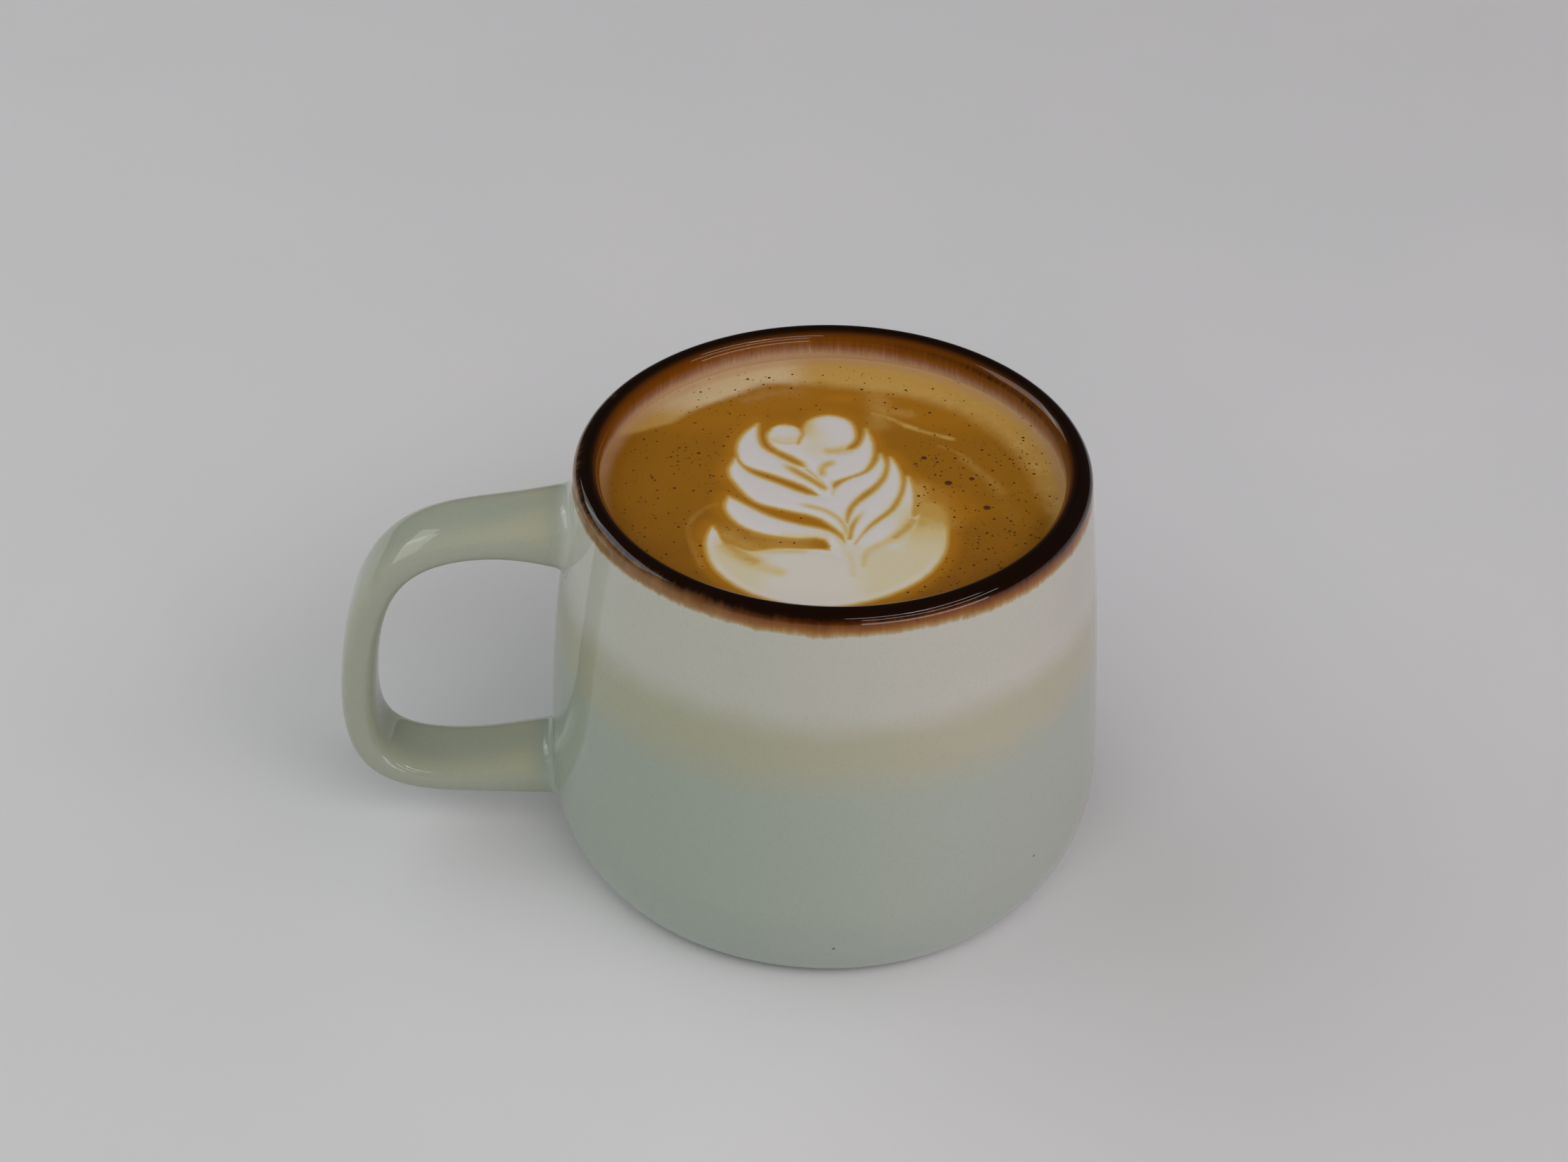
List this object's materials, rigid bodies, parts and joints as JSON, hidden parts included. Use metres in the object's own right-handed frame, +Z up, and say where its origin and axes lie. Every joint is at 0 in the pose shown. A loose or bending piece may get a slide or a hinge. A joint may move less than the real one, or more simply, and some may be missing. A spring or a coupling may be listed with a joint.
{
  "type": "latte in a mug",
  "caption": "Filled stoneware mug with a looped handle: coffee up to just below the rounded lip, with a milk foam leaf figure in its surface.",
  "frame": {"origin": "on the floor, at the bottom centre of the box round mug and handle", "axes": "+Z up out of the mug's mouth, -X out along the handle, +Y away from the drinker who holds the handle in the left hand"},
  "size_m": [0.1282, 0.092, 0.075],
  "materials": {
    "glaze": "glossy sage glaze with a dark brown lip",
    "crema": "golden brown coffee crema, soft gloss",
    "foam": "smooth white milk foam"
  },
  "bodies": {
    "root": {"mug": "glaze", "coffee": "crema", "milk_foam": "foam"}
  },
  "joints": []
}
